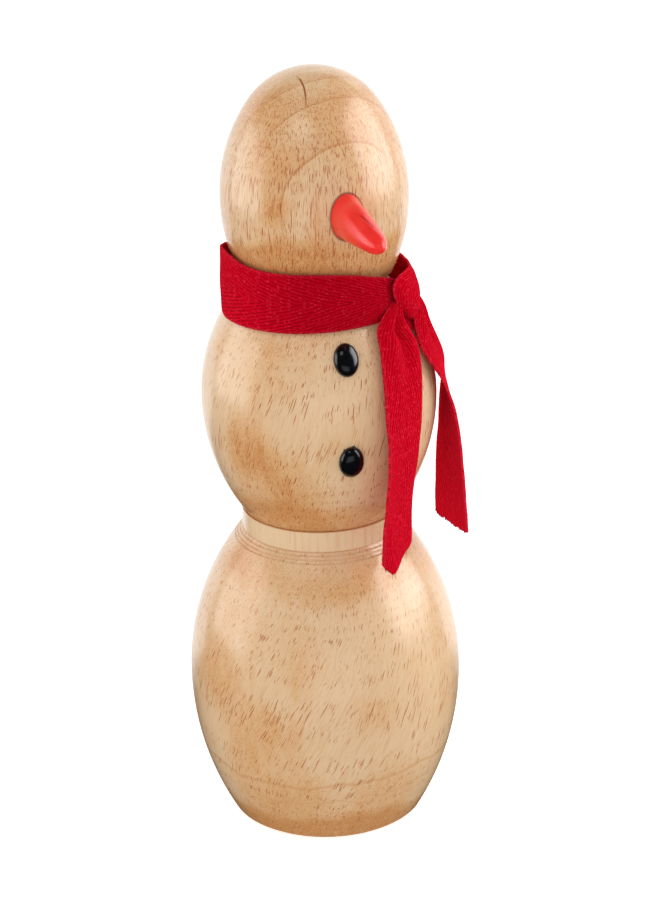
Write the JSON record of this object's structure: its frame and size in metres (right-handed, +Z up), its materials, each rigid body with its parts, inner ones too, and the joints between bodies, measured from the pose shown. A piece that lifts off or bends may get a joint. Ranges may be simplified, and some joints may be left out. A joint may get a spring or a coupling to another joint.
{
  "type": "wooden snowman figure",
  "caption": "Turned wooden snowman with a red peg nose, black oval buttons and a cloth tape scarf tied at one side of its neck; the scarf turns and its tails lift.",
  "frame": {"origin": "centre of the flat foot, on the turning axis, where the figure stands", "axes": "+Z up along the turning axis; the line of buttons faces -Y; the scarf's knot is on the +X side"},
  "size_m": [0.0954, 0.1103, 0.27],
  "materials": {
    "turned_wood": "pale close-grained hardwood under clear gloss lacquer",
    "dowel_wood": "plain hardwood dowel",
    "nose_paint": "gloss red paint over wood",
    "button_black": "polished black",
    "scarf_tape": "red cotton herringbone twill tape"
  },
  "bodies": {
    "figure": {"base_body": "turned_wood", "torso_body": "turned_wood", "head_body": "turned_wood", "waist_dowel": "dowel_wood", "neck_dowel": "dowel_wood", "nose": "nose_paint", "button_upper": "button_black", "button_lower": "button_black"},
    "scarf": {"scarf_wrap": "scarf_tape", "scarf_knot": "scarf_tape"},
    "tail_front": {"scarf_tail_front": "scarf_tape"},
    "tail_rear": {"scarf_tail_rear": "scarf_tape"}
  },
  "joints": [
    {"name": "scarf_turn", "type": "hinge", "parent": "figure", "child": "scarf", "pos_m": [0, 0, 0.198], "axis": [0, 0, 1], "range_deg": [-10, 235]},
    {"name": "tail_front_lift", "type": "hinge", "parent": "scarf", "child": "tail_front", "pos_m": [0.02469, -0.02648, 0.1882], "axis": [-0.788, -0.6157, 0], "range_deg": [0, 100]},
    {"name": "tail_rear_lift", "type": "hinge", "parent": "scarf", "child": "tail_rear", "pos_m": [0.03214, -0.01709, 0.1882], "axis": [-0.1736, -0.9848, 0], "range_deg": [0, 100]}
  ]
}
